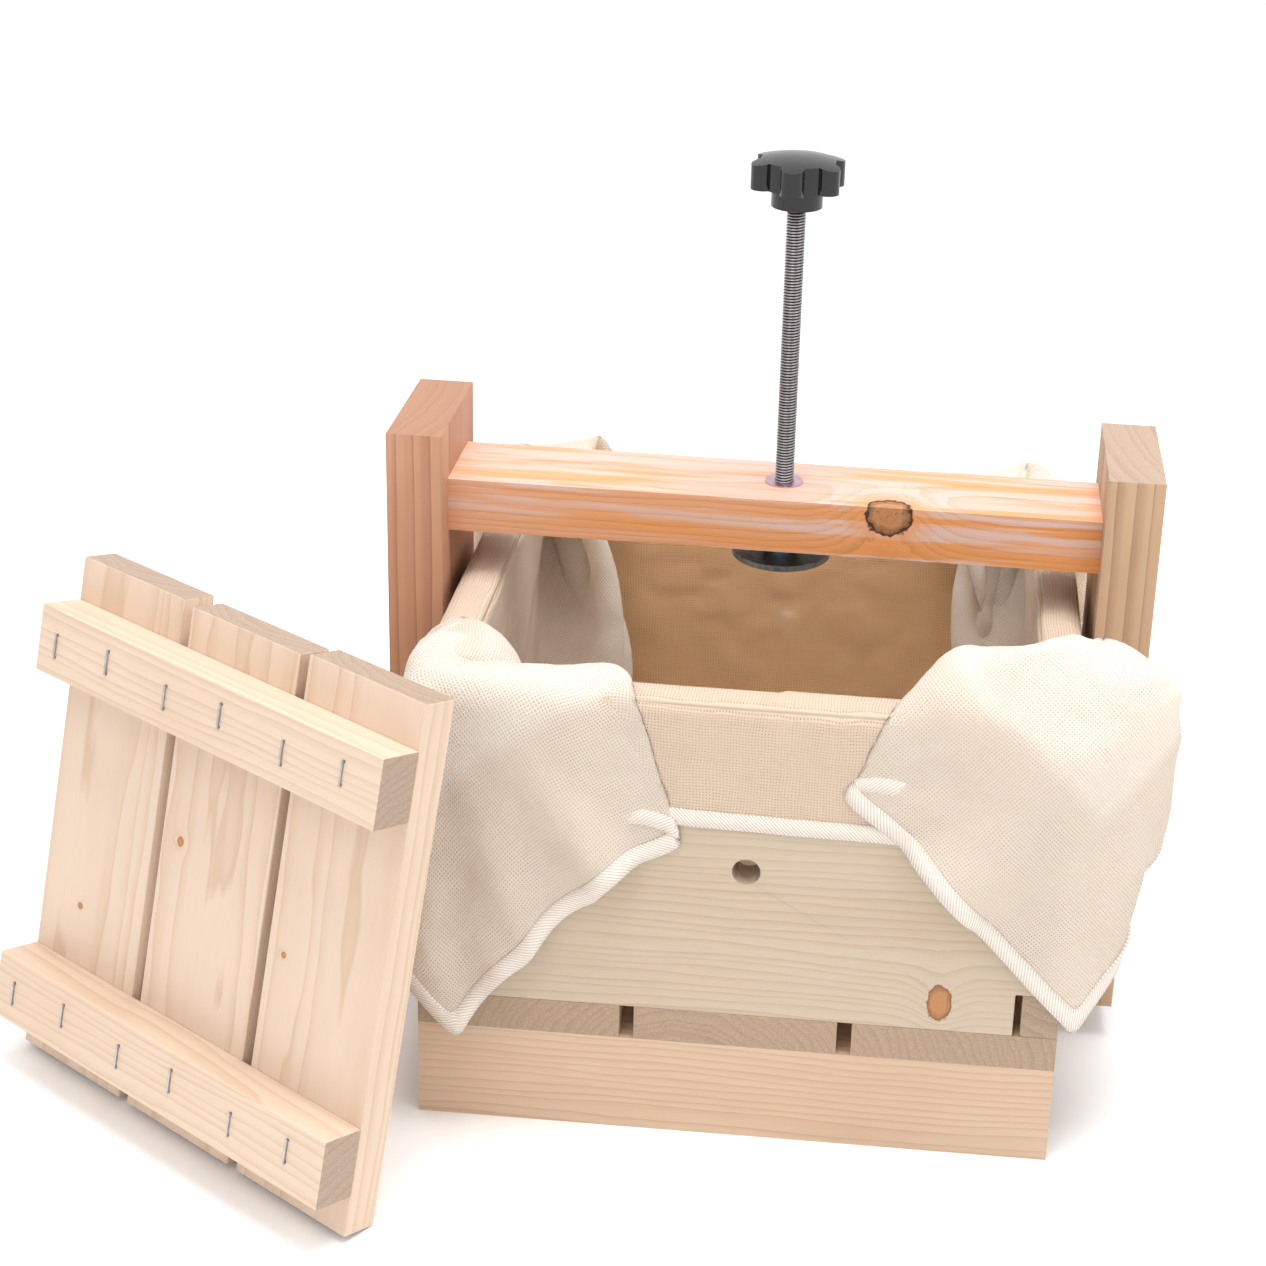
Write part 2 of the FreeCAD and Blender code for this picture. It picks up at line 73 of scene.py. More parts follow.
class Tree:
    """A material's node tree, with one short call for each kind of node."""

    def __init__(self, name):
        self.material = bpy.data.materials.new(name)
        self.material.use_nodes = True
        self.tree = self.material.node_tree
        self.tree.nodes.clear()
        self.output = self.tree.nodes.new("ShaderNodeOutputMaterial")

    def node(self, kind, **settings):
        made = self.tree.nodes.new("ShaderNode" + kind)
        for name, value in settings.items():
            setattr(made, name, value)
        return made

    def feed(self, socket, value):
        if isinstance(value, bpy.types.NodeSocket):
            self.tree.links.new(value, socket)
        elif value is not None:
            socket.default_value = value

    def math(self, operation, first, second=None, clamp=False):
        made = self.node("Math", operation=operation, use_clamp=clamp)
        for socket, value in zip(made.inputs, (first, second)):
            self.feed(socket, value)
        return made.outputs[0]

    def vector(self, operation, first, second=None, scale=None):
        made = self.node("VectorMath", operation=operation)
        self.feed(made.inputs[0], first)
        self.feed(made.inputs[1], second)
        if scale is not None:
            self.feed(made.inputs["Scale"], scale)
        return made.outputs["Value" if operation in ("LENGTH", "DOT_PRODUCT") else "Vector"]

    def split(self, vector):
        made = self.node("SeparateXYZ")
        self.feed(made.inputs[0], vector)
        return made.outputs[:3]

    def join(self, x, y, z):
        made = self.node("CombineXYZ")
        for socket, value in zip(made.inputs, (x, y, z)):
            self.feed(socket, value)
        return made.outputs[0]

    def noise(self, vector, scale=1.0, detail=2.0, roughness=0.5):
        made = self.node("TexNoise")
        settings = (("Vector", vector), ("Scale", scale), ("Detail", detail), ("Roughness", roughness))
        for name, value in settings:
            self.feed(made.inputs[name], value)
        return made.outputs["Fac"], made.outputs["Color"]

    def ramp(self, factor, *stops):
        made = self.node("ValToRGB")
        self.feed(made.inputs[0], factor)
        band = made.color_ramp
        while len(band.elements) < len(stops):
            band.elements.new(0.5)
        for element, (place, colour) in zip(band.elements, stops):
            element.position = place
            element.color = colour if hasattr(colour, "__len__") else (colour, colour, colour, 1.0)
        return made.outputs[0]

    def between(self, value, low, high, out_low=0.0, out_high=1.0):
        made = self.node("MapRange", interpolation_type="SMOOTHSTEP")
        for socket, number in zip(made.inputs, (value, low, high, out_low, out_high)):
            self.feed(socket, number)
        return made.outputs[0]

    def mix(self, factor, first, second, blend="MIX"):
        made = self.node("Mix", data_type="RGBA", blend_type=blend)
        self.feed(made.inputs[0], factor)
        self.feed(made.inputs[6], first)
        self.feed(made.inputs[7], second)
        return made.outputs[2]

    def bump(self, height, distance, strength=1.0):
        made = self.node("Bump")
        for name, value in (("Height", height), ("Distance", distance), ("Strength", strength)):
            self.feed(made.inputs[name], value)
        return made.outputs[0]

    def shade(self, **sockets):
        """The principled shader with these sockets, joined to the output."""
        made = self.node("BsdfPrincipled")
        for name, value in sockets.items():
            self.feed(made.inputs[name.replace("_", " ")], value)
        self.feed(self.output.inputs[0], made.outputs[0])
        return made

    def place(self, turn=None):
        """Object coordinates in millimetres, turned into a board's own axes if turn is given."""
        place = self.node("TexCoord").outputs["Object"]
        normal = self.node("TexCoord").outputs["Normal"]
        if turn is not None:
            angles = turn.to_3x3().inverted().to_euler()
            mapping = self.node("Mapping", vector_type="TEXTURE")
            self.feed(mapping.inputs["Vector"], place)
            mapping.inputs["Location"].default_value = turn.translation
            mapping.inputs["Rotation"].default_value = turn.to_3x3().to_euler()
            place = mapping.outputs[0]
            rotate = self.node("VectorRotate", rotation_type="EULER_XYZ")
            self.feed(rotate.inputs["Vector"], normal)
            rotate.inputs["Rotation"].default_value = angles
            normal = rotate.outputs[0]
        return self.vector("SCALE", place, scale=1000.0), normal


# ---- wood --------------------------------------------------------------------------------
AXES = {"X": (0, 1, 2), "Y": (1, 0, 2), "Z": (2, 0, 1)}


def pine(name, grain, pale, late, end, pith, spacing, knots=(), contrast=1.0, turn=None, resin=None,
         heart=None, wobble=2.0):
    """Softwood as a solid texture: rings round a pith, fine fibres, knots that push the rings
    aside, and speckled end grain. Lengths in millimetres."""
    t = Tree(name)
    place, normal = t.place(turn)
    order = AXES[grain]
    parts = t.split(place)
    along, across, deep = (parts[i] for i in order)
    facing = t.math("ABSOLUTE", t.split(normal)[order[0]])
    ends = t.between(facing, 0.6, 0.8)
    local = t.join(along, across, deep)

    # distance from the pith, which drifts slowly along the grain
    stretched = t.vector("MULTIPLY", local, (0.006, 0.035, 0.035))
    drift = t.vector("SUBTRACT", t.noise(stretched, 1.0, 3.0)[1], (0.5, 0.5, 0.5))
    drift_parts = t.split(t.vector("SCALE", drift, scale=wobble * 6))
    side = t.math("ADD", t.math("SUBTRACT", across, pith[0]), drift_parts[1])
    depth = t.math("ADD", t.math("SUBTRACT", deep, pith[1]), drift_parts[2])
    radius = t.vector("LENGTH", t.join(0.0, side, depth))

    # knots push the rings aside, and carry rings and cracks of their own
    knot_mask = 0.0
    knot_shade = 0.0
    halo_all = 0.0
    for centre, size, strength in knots:
        offset = t.vector("SUBTRACT", local, centre)
        offset = t.vector("DIVIDE", offset, size)
        reach = t.vector("LENGTH", offset)
        ragged = t.noise(t.vector("SCALE", offset, scale=3.0), 1.0, 3.0)[0]
        reach = t.math("ADD", reach, t.math("MULTIPLY", t.math("SUBTRACT", ragged, 0.5), 0.5))
        falloff = t.math("POWER", t.math("MULTIPLY", reach, 0.55), 2.0)
        halo = t.math("EXPONENT", t.math("MULTIPLY", falloff, -1.0))
        radius = t.math("ADD", radius, t.math("MULTIPLY", halo, strength * spacing))
        halo_all = t.math("ADD", halo_all, halo)
        inside = t.between(reach, 1.02, 0.92)
        knot_mask = t.math("MAXIMUM", knot_mask, inside)
        rings = t.math("SINE", t.math("MULTIPLY", reach, 22.0))
        shade = t.math("ADD", t.between(reach, 0.55, 0.95), t.math("MULTIPLY", rings, 0.12))
        cracks = t.between(t.noise(t.vector("SCALE", offset, scale=6.0), 1.0, 4.0, 0.7)[0], 0.62, 0.7)
        shade = t.math("MAXIMUM", shade, t.math("MULTIPLY", cracks, strength * 0.5, clamp=True))
        shade = t.math("MULTIPLY", shade, min(1.0, strength / 4.0))
        knot_shade = t.math("MAXIMUM", knot_shade, t.math("MULTIPLY", shade, inside))

    # year rings of uneven width, each dark at its outer edge
    uneven = t.noise(t.join(0.0, t.math("MULTIPLY", radius, 0.11), 0.0), 1.0, 2.0)[0]
    turns = t.math("ADD", t.math("DIVIDE", radius, spacing), t.math("MULTIPLY", uneven, 2.2))
    phase = t.math("FRACT", turns)
    ring = t.ramp(phase, (0.0, 0.0), (0.45, 0.08), (0.80, 0.55), (0.93, 1.0), (1.0, 0.05))

    # fibres and pores along the grain, and broad patches
    fibre = t.noise(t.vector("MULTIPLY", local, (0.035, 1.9, 1.9)), 1.0, 4.0, 0.65)[0]
    pores = t.noise(t.vector("MULTIPLY", local, (0.09, 4.5, 4.5)), 1.0, 2.0)[0]
    blotch = t.noise(t.vector("MULTIPLY", local, (0.009, 0.03, 0.03)), 1.0, 3.0)[0]
    ring = t.math("MULTIPLY", ring, t.between(blotch, 0.2, 0.75, 0.55, 1.0))

    colour = t.mix(t.math("MULTIPLY", ring, contrast, clamp=True), linear(*pale), linear(*late))
    warm = linear(*[0.5 * (a + b) for a, b in zip(pale, late)])
    colour = t.mix(t.between(blotch, 0.42, 0.8, 0.0, 0.5), colour, warm)
    if resin is not None:
        streak = t.noise(t.vector("MULTIPLY", local, (0.012, 0.16, 0.16)), 1.0, 2.0, 0.4)[0]
        colour = t.mix(t.between(streak, 0.5, 0.68, 0.0, 0.75), colour, linear(*resin))
        glow = t.math("MULTIPLY", t.between(halo_all, 0.25, 0.7), 0.6)
        colour = t.mix(glow, colour, linear(*resin))
    if heart is not None:
        ragged = t.noise(t.vector("MULTIPLY", local, (0.015, 0.3, 0.3)), 1.0, 3.0)[0]
        level = t.math("ADD", deep, t.math("MULTIPLY", t.math("SUBTRACT", ragged, 0.5), 16.0))
        red = t.mix(t.math("MULTIPLY", ring, 0.8), linear(*resin), linear(*[c * 0.84 for c in resin]))
        for height, reach in heart:
            away = t.math("ABSOLUTE", t.math("SUBTRACT", level, height))
            more_right = t.between(along, -60, 60, 0.62, 0.95)
            band = t.math("MULTIPLY", t.between(away, reach, reach * 0.35), more_right)
            colour = t.mix(band, colour, red)
    lines = t.math("ADD", t.math("MULTIPLY", fibre, 0.16), t.math("MULTIPLY", pores, 0.08))
    colour = t.mix(1.0, colour, t.ramp(lines, (0.03, 0.90), (0.20, 1.06)), "MULTIPLY")

    # speckled end grain
    speckle = t.noise(local, 1.3, 4.0, 0.7)[0]
    end_ring = t.math("MULTIPLY", ring, 0.55)
    end_colour = t.mix(end_ring, linear(*end), linear(*[c * 0.78 for c in end]))
    specks = t.between(speckle, 0.35, 0.65, 0.0, 0.55)
    end_colour = t.mix(specks, end_colour, linear(*[c * 0.80 for c in end]))
    colour = t.mix(ends, colour, end_colour)
    if knots:
        heart = t.mix(knot_shade, linear(182, 128, 84), linear(66, 38, 27))
        colour = t.mix(knot_mask, colour, heart)
    relief = t.math("ADD", t.math("MULTIPLY", fibre, 0.7), t.math("MULTIPLY", ring, 0.5))
    relief = t.math("ADD", relief, t.math("MULTIPLY", speckle, ends))
    relief = t.math("SUBTRACT", relief, t.math("MULTIPLY", knot_shade, 1.2))
    rough = t.math("ADD", t.math("MULTIPLY", fibre, 0.22), 0.47)
    grain_bump = t.bump(relief, 0.00022, 0.5)
    t.shade(Base_Color=colour, Roughness=rough, Specular_IOR_Level=0.35, Normal=grain_bump)
    return t.material


def lid_axes():
    """The leaning board's own axes: X across its slats, Y up them, Z out of its face."""
    out = Vector((-math.sin(LID_YAW), -math.cos(LID_YAW), 0))
    across = Vector((math.cos(LID_YAW), -math.sin(LID_YAW), 0))
    along = Vector((0, 0, math.cos(LID_LEAN))) - out * math.sin(LID_LEAN)
    normal = across.cross(along)
    axes = Matrix((across, along, normal)).transposed().to_4x4()
    axes.translation = Vector(LID_CORNER)
    return axes


# ---- metal and plastic ---------------------------------------------------------------------
def metal(name, colour, rough, tint=None, root_shade=None):
    """Plated or bare steel with fine scuffs and a cloudy change in polish. The thread's roots get painted
    shade:
    from the second of two radii about the screw's axis, in millimetres, the colour darkens in to the first."""
    t = Tree(name)
    place, _ = t.place()
    cloud = t.noise(place, 0.35, 4.0, 0.6)[0]
    scuff = t.noise(t.vector("MULTIPLY", place, (3.0, 3.0, 0.4)), 1.0, 3.0, 0.7)[0]
    cloudy = linear(*(tint or [c * 0.86 for c in colour]))
    base = t.mix(t.between(cloud, 0.3, 0.75), linear(*colour), cloudy)
    roughness = t.math("ADD", t.math("MULTIPLY", scuff, 0.11), rough)
    if root_shade is not None:
        x, y, _ = t.split(place)
        radius = t.vector("LENGTH", t.join(t.math("SUBTRACT", x, SCREW_X), y, 0.0))
        # painted shade in the thread's roots, near black from the crest in to the root
        base = t.mix(t.between(radius, *root_shade), linear(34, 34, 36), base)
    t.shade(Base_Color=base, Metallic=1.0, Roughness=roughness, Normal=t.bump(scuff, 0.00003, 0.5))
    return t.material


def moulded_plastic(name):
    """Glossy black phenolic with a faint orange-peel and dust-fine scratches."""
    t = Tree(name)
    place, _ = t.place()
    peel = t.noise(place, 0.5, 2.0)[0]
    fine = t.noise(place, 2.5, 3.0, 0.7)[0]
    colour = t.mix(t.between(fine, 0.35, 0.7), linear(12, 12, 13), linear(20, 20, 21))
    rough = t.math("ADD", t.math("MULTIPLY", fine, 0.1), 0.12)
    t.shade(Base_Color=colour, Roughness=rough, Specular_IOR_Level=0.55, Normal=t.bump(peel, 0.00006, 0.4))
    return t.material


# ---- mesh pieces -----------------------------------------------------------------------------
def mesh_piece(name, points, faces, material, body, smooth=True):
    """An object from points in millimetres and faces, riding on a body."""
    mesh = bpy.data.meshes.new(name)
    mesh.from_pydata([tuple(c * MM for c in p) for p in points], [], faces)
    mesh.validate()
    mesh.update()
    if smooth:
        mesh.polygons.foreach_set("use_smooth", [True] * len(mesh.polygons))
    made = bpy.data.objects.new(name, mesh)
    bpy.context.scene.collection.objects.link(made)
    made.data.materials.append(material)
    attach(made, body)
    return made


def threaded_rod(material):
    """The screw with its real helical thread, one ring of points for each step of a turn."""
    steps = 28
    profile = ((0.0, ROD_RADIUS), (0.16, ROD_RADIUS), (0.46, THREAD_ROOT), (0.68, THREAD_ROOT))
    low, high = ROD_SPAN
    turns = int((high - low) / THREAD_PITCH) + 2
    points = []
    for turn in range(turns):
        for share, radius in profile:
            for step in range(steps):
                angle = 2 * math.pi * step / steps
                z = low + THREAD_PITCH * (turn - 1 + share + step / steps)
                z = min(max(z, low), high)
                points.append((SCREW_X + radius * math.cos(angle), radius * math.sin(angle), z))
    faces = []
    rows = turns * len(profile)
    for row in range(rows - 1):
        for step in range(steps):
            here = row * steps + step
            if step < steps - 1:
                faces.append((here, here + 1, here + 1 + steps, here + steps))
            elif row + 1 + len(profile) < rows:
                wrap = (row + len(profile)) * steps
                faces.append((here, wrap, wrap + steps, here + steps))
    for z, rim in ((low, 0), (high, (rows - 1) * steps)):
        centre = len(points)
        points.append((SCREW_X, 0, z))
        for step in range(steps):
            a, b = rim + step, rim + (step + 1) % steps
            faces.append((centre, b, a) if rim == 0 else (centre, a, b))
    made = mesh_piece("screw_thread", points, faces, material, "hand_screw")
    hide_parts("screw_rod")


# ---- materials on the CAD nodes --------------------------------------------------------------
# pale and late are early and late wood; pith is where the rings' centre lies across the grain;
# a knot is (centre, size, how far it pushes the rings); heart is (height, reach) of each amber band
WOODS = {
    "foot": dict(grain="X", pale=(206, 179, 154), late=(183, 144, 115), end=(176, 148, 123),
                 pith=(40, -150), spacing=2.6, contrast=0.75, wobble=1.6),
    "slat": dict(grain="Y", pale=(203, 176, 150), late=(181, 145, 113), end=(178, 152, 128),
                 pith=(-20, 10), spacing=3.4, contrast=0.8),
    "box_front": dict(grain="X", pale=(195, 178, 157), late=(173, 148, 120), end=(173, 154, 133),
                      pith=(60, -170), spacing=3.4, contrast=0.7,
                      knots=(((81, -124, 71), (5.2, 12, 8.6), 2.2),)),
    "box": dict(grain="X", pale=(197, 178, 155), late=(175, 148, 118), end=(173, 154, 131),
                pith=(40, 300), spacing=4.0, contrast=0.7),
    "box_side": dict(grain="Y", pale=(195, 176, 153), late=(175, 147, 117), end=(174, 152, 129),
                     pith=(40, -90), spacing=4.2, contrast=0.75),
    "upright_left": dict(grain="Z", pale=(202, 154, 124), late=(152, 97, 75), end=(177, 132, 105),
                         pith=(-330, 20), spacing=6.4, contrast=0.85, wobble=0.8),
    "upright_right": dict(grain="Z", pale=(196, 164, 134), late=(145, 105, 76), end=(183, 157, 137),
                          pith=(330, 40), spacing=6.0, contrast=0.85, wobble=0.8),
    "crossbar": dict(grain="X", pale=(215, 183, 171), late=(201, 147, 105), end=(194, 150, 124),
                     pith=(-16, 330), spacing=3.6, contrast=0.75, resin=(222, 148, 86),
                     heart=((235, 4.0), (221, 7.0)),
                     knots=(((48, -22, 237), (10.5, 9.5, 10.0), 5.0),)),
}
LID_WOOD = dict(pale=(218, 195, 174), late=(197, 166, 137), end=(180, 157, 138), contrast=0.8)
# one pin knot a slat: distance up the slat, distance from its middle, size, push on the rings
LID_KNOTS = {"left": (70, -7.0, (1.6, 1.6, 4), 1.2),
             "middle": (118, -20.0, (2.2, 2.0, 5), 1.2),
             "right": (95, -22.0, (1.4, 1.4, 4), 1.0)}


def dress(material, *names):
    for name in names:
        node = nodes[name]
        node.data.materials.clear()
        node.data.materials.append(material)


woods = {name: pine("pine_" + name, **values) for name, values in WOODS.items()}
dress(woods["foot"], "base_foot_front", "base_foot_rear", "base_centre_rail")
dress(woods["slat"], "base_slat_left", "base_slat_middle", "base_slat_right")
dress(woods["box_front"], "box_board_front")
dress(woods["box"], "box_board_back")
dress(woods["box_side"], "box_board_left", "box_board_right")
dress(woods["upright_left"], "upright_left")
dress(woods["upright_right"], "upright_right")
dress(woods["crossbar"], "crossbar")
board_axes = lid_axes()
for index, place in enumerate(("left", "middle", "right")):
    middle = LID_FIRST_SLAT + LID_SLAT_PITCH * index
    knot = LID_KNOTS[place]
    knots = (((knot[0], middle + knot[1], 0), knot[2], knot[3]),)
    pith = (middle + 12 * index - 10, -46 - 9 * index)
    grain = pine("pine_lid_" + place, "Y", pith=pith, spacing=4.2, knots=knots, turn=board_axes, **LID_WOOD)
    dress(grain, "lid_slat_" + place)
for place, pith in (("lower", (120, 40)), ("upper", (60, -50))):
    dress(pine("pine_batten_" + place, "X", pith=pith, spacing=3.8, turn=board_axes, **LID_WOOD),
          "lid_batten_" + place)

# the thread's roots get painted shade
steel = metal("threaded_steel", (178, 178, 180), 0.3, root_shade=(THREAD_ROOT, ROD_RADIUS - 0.12))
dark_steel = metal("foot_steel", (150, 162, 170), 0.28, tint=(112, 126, 136))
zinc = metal("bright_zinc", (205, 206, 208), 0.25)
pink_zinc = metal("passivated_zinc", (222, 184, 186), 0.3, tint=(196, 168, 200))
staple_wire = metal("staple_wire", (190, 190, 192), 0.28)
black = moulded_plastic("black_plastic")
dress(dark_steel, "press_foot_disc", "press_foot_hub")
dress(zinc, "frame_bolt_left", "frame_bolt_right", "frame_washer_left", "frame_washer_right",
      "barrel_nut_left", "barrel_nut_right", "base_brads", "crossbar_screws", "knob_bush")
dress(pink_zinc, "threaded_insert")
dress(staple_wire, "lid_staples_lower", "lid_staples_upper")
dress(black, "knob")
threaded_rod(steel)

# ---- cheesecloth: one square sheet, folded into the box, then relaxed under gravity -------------
SHEET_HALF = (315.0, 310.0)
BOX_INSIDE = (114.0, 109.0)
BOX_OUTSIDE = (130.5, 124.0)
FLOOR_HALF = (112.0, 107.0)       # the part of the sheet that lines the bottom
BASE_TOP, RIM = 58.0, 196.0
RIM_REACH = 137.0                 # from the bottom corner up to the rim, along the sheet
CELLS = (90, 88)
BOARD_HALF = 129.0                # half the box's width over its end boards
BOX_FOOT = 50.0                   # the boards are taken to reach down to here
UPRIGHT_SPAN, UPRIGHT_DEPTH, UPRIGHT_HEIGHTS = (136, 159), (-34, 34), (16, 263)
CROSSBAR_DEPTH, CROSSBAR_HEIGHTS = (-22, 22), (217, 240)
BACK_LIMIT = 139.0                # the back drape goes no further than this
# the leaning board's slab in its own axes, in metres: across, top, and out of its face
LID_ACROSS, LID_TOP, LID_OUT = (-0.001, 0.197), 0.215, (-0.0165, 0.004)

STEPS, QUICK_STEPS = 300, 40
GRAVITY = 0.08                    # millimetres in a step
DRAG, TOP_SPEED = 0.96, 3.0
GRIP = 0.6                        # share of its speed that a point touching wood loses
PULL, LAST_PULL = 0.50, 0.25      # share of the way to its held place that a point goes
PINNED_FLOOR = (75, 70)           # the sheet is fixed within this, and in a strip up each wall
PINNED_WALL, PINNED_REACH = (65, 60), 128
HEM_THICKNESS = 1.3

# corner: (side x, side y), angle of the pleat on the front or back board
CORNERS = {"front_left": (-1, -1, 24.6), "front_right": (1, -1, 23.3),
           "back_left": (-1, 1, 17.0), "back_right": (1, 1, 27.0)}
# points of the sheet from its own centre, and the places they are pulled towards while it settles:
# picked in the reference picture, turned into millimetres with the fitted camera, then adjusted
HELD = (
    # front left: tip, hem up to the crease, crease, and the pleat hidden behind it
    ((-315, -310), (-107.7, -131.0, 30.6)), ((-267, -310), (-76.5, -131.0, 67.0)),
    ((-222, -310), (-47.2, -131.0, 101.0)), ((-176, -310), (-17.3, -127.3, 135.6)),
    ((-163, -279), (-32.0, -127.3, 166.0)), ((-149, -248), (-46.6, -130.0, 197.0)),
    ((-315, -262), (-138.0, -127.0, 67.0)), ((-200, -225), (-100.0, -130.0, 199.0)),
    ((-137, -310), (-57.0, -125.8, 140.0)), ((-97, -310), (-97.0, -126.0, 144.0)),
    ((-98, -262), (-98.0, -126.0, 192.0)), ((-60, -310), (-60.0, -125.6, 145.0)),
    # front right: tail, hem, crease, hidden pleat, then the fold that stands up and out
    ((315, -310), (134.0, -124.0, 62.7)), ((290, -296), (127.0, -130.0, 91.0)),
    ((250, -310), (89.0, -131.5, 111.0)), ((212, -310), (63.6, -132.0, 137.2)),
    ((173, -310), (37.0, -127.3, 165.7)), ((150, -279), (43.0, -130.0, 201.0)),
    ((139, -310), (70.0, -125.8, 146.0)), ((105, -310), (104.0, -126.0, 144.0)),
    ((97, -266), (97.0, -126.0, 188.0)), ((46, -310), (46.0, -126.0, 143.0)),
    ((180, -244), (90.0, -133.0, 213.0)), ((174, -202), (113.0, -114.0, 246.0)),
    ((220, -235), (128.0, -146.0, 204.0)), ((240, -262), (117.0, -137.0, 158.0)),
    ((180, -188), (130.0, -107.0, 249.0)), ((205, -184), (154.0, -105.0, 236.0)),
    ((234, -181), (175.0, -104.0, 212.0)), ((252, -197), (175.0, -106.0, 188.0)),
    ((266, -217), (168.0, -110.0, 162.0)), ((284, -246), (160.0, -111.0, 129.0)),
    ((301, -274), (149.0, -112.0, 98.0)), ((315, -250), (150.0, -92.0, 112.0)),
    ((315, -200), (152.0, -66.0, 142.0)),
    # middle of the front, and the two corners behind the uprights
    ((0, -310), (0.0, -125.6, 144.0)),
    ((-315, 310), (-188.0, 112.0, 92.0)), ((315, 310), (122.0, 131.0, 38.0)),
    ((190, 190), (116.0, 122.0, 207.0)), ((-190, 190), (-119.0, 121.0, 208.0)),
)


def profile(reach, offset, inside, outside):
    """Distance from the box's middle and height, a length along the sheet up the wall and over the rim."""
    wall = outside - inside
    stops = [0, RIM_REACH - 1, RIM_REACH + 1, RIM_REACH + wall, RIM_REACH + wall + 2, RIM_REACH + wall + 400]
    base = np.interp(reach, stops, [0, 0, 0, wall, wall, wall])
    sign = np.interp(reach, stops, [-1, -1, -0.7, 0.7, 1, 1])
    out = inside + base + sign * offset
    high = np.interp(reach, stops, [BASE_TOP + 1, RIM - 1, RIM, RIM, RIM - 1, RIM - 399])
    high += offset * np.interp(reach, stops, [1, 0, 0.8, 0.8, 0, 0])
    return out, high


def folded_sheet(s, t):
    """The sheet folded flat into the box: walls, rim, and two pleats at every corner."""
    x, y = s.copy(), t.copy()
    z = np.full_like(s, BASE_TOP + 1.2)
    layer = np.full_like(s, 1.0)
    up_side, up_end = np.abs(s) - FLOOR_HALF[0], np.abs(t) - FLOOR_HALF[1]
    side = (up_side > 0) & (up_end <= 0)
    out, high = profile(up_side[side], layer[side], BOX_INSIDE[0], BOX_OUTSIDE[0])
    x[side], z[side] = np.sign(s[side]) * out, high
    end = (up_end > 0) & (up_side <= 0)
    out, high = profile(up_end[end], layer[end], BOX_INSIDE[1], BOX_OUTSIDE[1])
    y[end], z[end] = np.sign(t[end]) * out, high
    for side_x, side_y, pleat in CORNERS.values():
        here = (up_side > 0) & (up_end > 0) & (np.sign(s) == side_x) & (np.sign(t) == side_y)
        a, b = up_side[here], up_end[here]
        angle = np.degrees(np.arctan2(a, b))
        length = np.hypot(a, b)
        turned = np.interp(angle, [0, pleat, 45 + pleat, 90], [0, -pleat, 45 - pleat, 0])
        folds = [0, pleat, pleat + 2.5, 39 + pleat, 45 + pleat, 90]
        offset = np.interp(angle, folds, [1, 1.8, 4.8, 4.8, 2.4, 1])
        across = length * np.sin(np.radians(turned))
        reach = length * np.cos(np.radians(turned))
        spread = np.interp(reach, [RIM_REACH, RIM_REACH + 18], [0, 1]) * np.exp(-np.abs(across) / 40)
        out_y, high_y = profile(reach, offset, BOX_INSIDE[1], BOX_OUTSIDE[1])
        out_x, high_x = profile(reach, offset, BOX_INSIDE[0], BOX_OUTSIDE[0])
        on_end = across <= 0
        x[here] = side_x * np.where(on_end, FLOOR_HALF[0] + across + 19 * spread, out_x)
        y[here] = side_y * np.where(on_end, out_y, FLOOR_HALF[1] - across + 17 * spread)
        z[here] = np.where(on_end, high_y, high_x)
        layer[here] = offset
    return np.stack([x, y, z], -1), layer


def tucked_layers(s, t):
    """Which points hang straight down the front or back board, and which down a side board: the plain
    drape and the part of each pleat that lies behind an ear. The front right fold is freer to stand out."""
    up_side, up_end = np.abs(s) - FLOOR_HALF[0], np.abs(t) - FLOOR_HALF[1]
    on_end = (up_side <= 0) & (up_end > 0)
    on_side = (up_end <= 0) & (up_side > 0)
    for name, (side_x, side_y, pleat) in CORNERS.items():
        here = (up_side > 0) & (up_end > 0) & (np.sign(s) == side_x) & (np.sign(t) == side_y)
        angle = np.degrees(np.arctan2(up_side, up_end))
        on_end |= here & (angle < pleat - 1)
        on_side |= here & (angle > (51 if name == "front_right" else 46) + pleat)
    return on_end.reshape(-1), on_side.reshape(-1)


